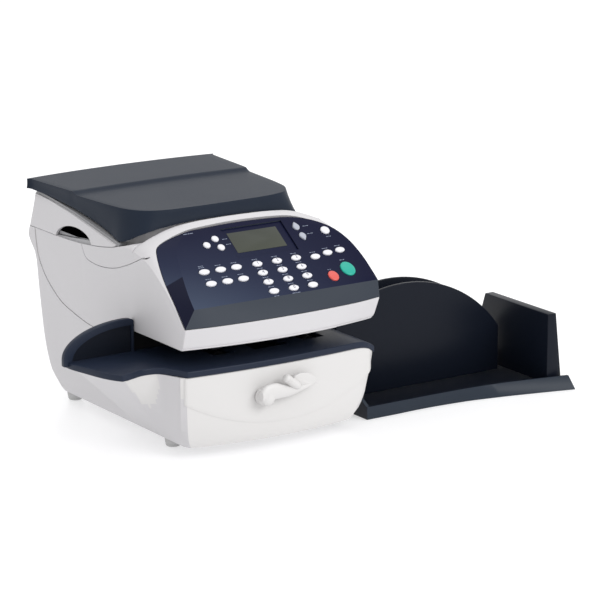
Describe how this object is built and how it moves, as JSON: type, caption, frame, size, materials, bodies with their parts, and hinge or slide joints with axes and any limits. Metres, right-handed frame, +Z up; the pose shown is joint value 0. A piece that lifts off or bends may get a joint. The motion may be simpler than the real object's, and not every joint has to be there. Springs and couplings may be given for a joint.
{
  "type": "franking machine",
  "caption": "Desktop franking machine with a sloping keypad and display, a scale on its hinged cover, an open mail slot over a feed deck, and a drop stacker tray.",
  "frame": {"origin": "middle of the footprint, on the table", "axes": "+X along the mail path to the stacker, +Y from the operator's side to the back, +Z up"},
  "size_m": [0.621, 0.399, 0.258],
  "materials": {
    "shell_grey": "fine satin moulded",
    "front_white": "satin moulded",
    "navy": "satin moulded",
    "platform_navy": "fine grained",
    "key_white": "pearl",
    "key_grey": "satin",
    "key_red": "satin",
    "key_green": "satin",
    "display": "grey liquid crystal",
    "window": "clear, polished",
    "rubber": "ground",
    "foot_rubber": "moulded",
    "steel": "ground",
    "plated_steel": "zinc plated",
    "alloy": "milled",
    "inner_black": "moulded",
    "board": "solder mask",
    "cartridge": "moulded"
  },
  "bodies": {
    "machine": {"base_housing": "shell_grey", "base_plate": "plated_steel", "foot_front_left": "foot_rubber", "foot_front_right": "foot_rubber", "foot_rear_left": "foot_rubber", "foot_rear_right": "foot_rubber", "front_cover": "front_white", "feed_deck": "navy", "console_housing": "shell_grey", "control_bezel": "navy", "lcd_window": "window", "lcd_module": "display", "print_frame": "inner_black", "carriage_rod": "steel", "purge_station": "inner_black", "drive_motor": "steel", "main_board": "board", "power_inlet": "inner_black"},
    "cover": {"top_cover": "shell_grey", "load_cell": "alloy"},
    "platform": {"scale_platform": "platform_navy", "scale_spider": "inner_black"},
    "lever": {"jam_release_lever": "front_white"},
    "idlers": {"idler_carrier": "inner_black"},
    "feed": {"feed_roller": "rubber"},
    "exit": {"exit_roller": "rubber"},
    "carriage": {"print_carriage": "inner_black"},
    "cartridge": {"ink_cartridge": "cartridge"},
    "stacker": {"tray_base": "navy", "tray_guide": "navy", "tray_end_wall": "navy"},
    "key_1": {"key_1": "key_white"},
    "key_2": {"key_2": "key_white"},
    "key_3": {"key_3": "key_white"},
    "key_4": {"key_4": "key_white"},
    "key_5": {"key_5": "key_white"},
    "key_6": {"key_6": "key_white"},
    "key_7": {"key_7": "key_white"},
    "key_8": {"key_8": "key_white"},
    "key_9": {"key_9": "key_white"},
    "key_clear": {"key_clear": "key_white"},
    "key_0": {"key_0": "key_white"},
    "key_point": {"key_point": "key_white"},
    "key_menu_1": {"key_menu_1": "key_white"},
    "key_menu_2": {"key_menu_2": "key_white"},
    "key_menu_3": {"key_menu_3": "key_white"},
    "key_menu_4": {"key_menu_4": "key_white"},
    "key_menu_5": {"key_menu_5": "key_white"},
    "key_menu_6": {"key_menu_6": "key_white"},
    "key_option_1": {"key_option_1": "key_white"},
    "key_option_2": {"key_option_2": "key_white"},
    "key_option_3": {"key_option_3": "key_white"},
    "key_select_1": {"key_select_1": "key_white"},
    "key_select_2": {"key_select_2": "key_white"},
    "key_select_3": {"key_select_3": "key_white"},
    "key_home": {"key_home": "key_white"},
    "key_scroll_up": {"key_scroll_up": "key_grey"},
    "key_scroll_down": {"key_scroll_down": "key_grey"},
    "key_stop": {"key_stop": "key_red"},
    "key_start": {"key_start": "key_green"}
  },
  "joints": [
    {"name": "cover_hinge", "type": "hinge", "parent": "machine", "child": "cover", "pos_m": [-0.0955, 0.1965, 0.2], "axis": [-1, 0, 0], "range_deg": [0, 60]},
    {"name": "platform_sink", "type": "slide", "parent": "cover", "child": "platform", "axis": [0, 0, -1], "range_m": [0, 0.0008], "stiffness_N_per_m": 40000, "springref_m": -0.0002},
    {"name": "lever_turn", "type": "hinge", "parent": "machine", "child": "lever", "pos_m": [-0.1265, -0.1705, 0.062], "axis": [0, 1, 0], "range_deg": [0, 40]},
    {"name": "idler_drop", "type": "slide", "parent": "machine", "child": "idlers", "axis": [0, 0, -1], "range_m": [0, 0.008]},
    {"name": "carriage_slide", "type": "slide", "parent": "machine", "child": "carriage", "axis": [0, 1, 0], "range_m": [-0.15, 0]},
    {"name": "cartridge_lift", "type": "slide", "parent": "carriage", "child": "cartridge", "axis": [0, 0, 1], "range_m": [0, 0.036]},
    {"name": "feed_spin", "type": "hinge", "parent": "machine", "child": "feed", "pos_m": [-0.1425, -0.0615, 0.119], "axis": [0, -1, 0], "continuous": true},
    {"name": "exit_spin", "type": "hinge", "parent": "machine", "child": "exit", "pos_m": [-0.0225, -0.0615, 0.119], "axis": [0, -1, 0], "continuous": true},
    {"name": "stacker_unhook", "type": "slide", "parent": "machine", "child": "stacker", "axis": [1, 0, 0], "range_m": [0, 0.06]},
    {"name": "key_1_press", "type": "slide", "parent": "machine", "child": "key_1", "axis": [0, 0.5736, -0.8192], "range_m": [0, 0.001], "stiffness_N_per_m": 500, "springref_m": -0.0004},
    {"name": "key_2_press", "type": "slide", "parent": "machine", "child": "key_2", "axis": [0, 0.5736, -0.8192], "range_m": [0, 0.001], "stiffness_N_per_m": 500, "springref_m": -0.0004},
    {"name": "key_3_press", "type": "slide", "parent": "machine", "child": "key_3", "axis": [0, 0.5736, -0.8192], "range_m": [0, 0.001], "stiffness_N_per_m": 500, "springref_m": -0.0004},
    {"name": "key_4_press", "type": "slide", "parent": "machine", "child": "key_4", "axis": [0, 0.5736, -0.8192], "range_m": [0, 0.001], "stiffness_N_per_m": 500, "springref_m": -0.0004},
    {"name": "key_5_press", "type": "slide", "parent": "machine", "child": "key_5", "axis": [0, 0.5736, -0.8192], "range_m": [0, 0.001], "stiffness_N_per_m": 500, "springref_m": -0.0004},
    {"name": "key_6_press", "type": "slide", "parent": "machine", "child": "key_6", "axis": [0, 0.5736, -0.8192], "range_m": [0, 0.001], "stiffness_N_per_m": 500, "springref_m": -0.0004},
    {"name": "key_7_press", "type": "slide", "parent": "machine", "child": "key_7", "axis": [0, 0.5736, -0.8192], "range_m": [0, 0.001], "stiffness_N_per_m": 500, "springref_m": -0.0004},
    {"name": "key_8_press", "type": "slide", "parent": "machine", "child": "key_8", "axis": [0, 0.5736, -0.8192], "range_m": [0, 0.001], "stiffness_N_per_m": 500, "springref_m": -0.0004},
    {"name": "key_9_press", "type": "slide", "parent": "machine", "child": "key_9", "axis": [0, 0.5736, -0.8192], "range_m": [0, 0.001], "stiffness_N_per_m": 500, "springref_m": -0.0004},
    {"name": "key_clear_press", "type": "slide", "parent": "machine", "child": "key_clear", "axis": [0, 0.5736, -0.8192], "range_m": [0, 0.001], "stiffness_N_per_m": 500, "springref_m": -0.0004},
    {"name": "key_0_press", "type": "slide", "parent": "machine", "child": "key_0", "axis": [0, 0.5736, -0.8192], "range_m": [0, 0.001], "stiffness_N_per_m": 500, "springref_m": -0.0004},
    {"name": "key_point_press", "type": "slide", "parent": "machine", "child": "key_point", "axis": [0, 0.5736, -0.8192], "range_m": [0, 0.001], "stiffness_N_per_m": 500, "springref_m": -0.0004},
    {"name": "key_menu_1_press", "type": "slide", "parent": "machine", "child": "key_menu_1", "axis": [0, 0.5736, -0.8192], "range_m": [0, 0.001], "stiffness_N_per_m": 500, "springref_m": -0.0004},
    {"name": "key_menu_2_press", "type": "slide", "parent": "machine", "child": "key_menu_2", "axis": [0, 0.5736, -0.8192], "range_m": [0, 0.001], "stiffness_N_per_m": 500, "springref_m": -0.0004},
    {"name": "key_menu_3_press", "type": "slide", "parent": "machine", "child": "key_menu_3", "axis": [0, 0.5736, -0.8192], "range_m": [0, 0.001], "stiffness_N_per_m": 500, "springref_m": -0.0004},
    {"name": "key_menu_4_press", "type": "slide", "parent": "machine", "child": "key_menu_4", "axis": [0, 0.5736, -0.8192], "range_m": [0, 0.001], "stiffness_N_per_m": 500, "springref_m": -0.0004},
    {"name": "key_menu_5_press", "type": "slide", "parent": "machine", "child": "key_menu_5", "axis": [0, 0.5736, -0.8192], "range_m": [0, 0.001], "stiffness_N_per_m": 500, "springref_m": -0.0004},
    {"name": "key_menu_6_press", "type": "slide", "parent": "machine", "child": "key_menu_6", "axis": [0, 0.5736, -0.8192], "range_m": [0, 0.001], "stiffness_N_per_m": 500, "springref_m": -0.0004},
    {"name": "key_option_1_press", "type": "slide", "parent": "machine", "child": "key_option_1", "axis": [0, 0.5736, -0.8192], "range_m": [0, 0.001], "stiffness_N_per_m": 500, "springref_m": -0.0004},
    {"name": "key_option_2_press", "type": "slide", "parent": "machine", "child": "key_option_2", "axis": [0, 0.5736, -0.8192], "range_m": [0, 0.001], "stiffness_N_per_m": 500, "springref_m": -0.0004},
    {"name": "key_option_3_press", "type": "slide", "parent": "machine", "child": "key_option_3", "axis": [0, 0.5736, -0.8192], "range_m": [0, 0.001], "stiffness_N_per_m": 500, "springref_m": -0.0004},
    {"name": "key_select_1_press", "type": "slide", "parent": "machine", "child": "key_select_1", "axis": [0, 0.5736, -0.8192], "range_m": [0, 0.001], "stiffness_N_per_m": 500, "springref_m": -0.0004},
    {"name": "key_select_2_press", "type": "slide", "parent": "machine", "child": "key_select_2", "axis": [0, 0.5736, -0.8192], "range_m": [0, 0.001], "stiffness_N_per_m": 500, "springref_m": -0.0004},
    {"name": "key_select_3_press", "type": "slide", "parent": "machine", "child": "key_select_3", "axis": [0, 0.5736, -0.8192], "range_m": [0, 0.001], "stiffness_N_per_m": 500, "springref_m": -0.0004},
    {"name": "key_home_press", "type": "slide", "parent": "machine", "child": "key_home", "axis": [0, 0.5736, -0.8192], "range_m": [0, 0.001], "stiffness_N_per_m": 500, "springref_m": -0.0004},
    {"name": "key_scroll_up_press", "type": "slide", "parent": "machine", "child": "key_scroll_up", "axis": [0, 0.5736, -0.8192], "range_m": [0, 0.001], "stiffness_N_per_m": 500, "springref_m": -0.0004},
    {"name": "key_scroll_down_press", "type": "slide", "parent": "machine", "child": "key_scroll_down", "axis": [0, 0.5736, -0.8192], "range_m": [0, 0.001], "stiffness_N_per_m": 500, "springref_m": -0.0004},
    {"name": "key_stop_press", "type": "slide", "parent": "machine", "child": "key_stop", "axis": [0, 0.5736, -0.8192], "range_m": [0, 0.001], "stiffness_N_per_m": 500, "springref_m": -0.0004},
    {"name": "key_start_press", "type": "slide", "parent": "machine", "child": "key_start", "axis": [0, 0.5736, -0.8192], "range_m": [0, 0.001], "stiffness_N_per_m": 500, "springref_m": -0.0004}
  ],
  "couplings": [
    {"joint": "lever_turn", "follows": "idler_drop", "rad_per_m": 87.2},
    {"joint": "exit_spin", "follows": "feed_spin", "ratio": 1}
  ]
}
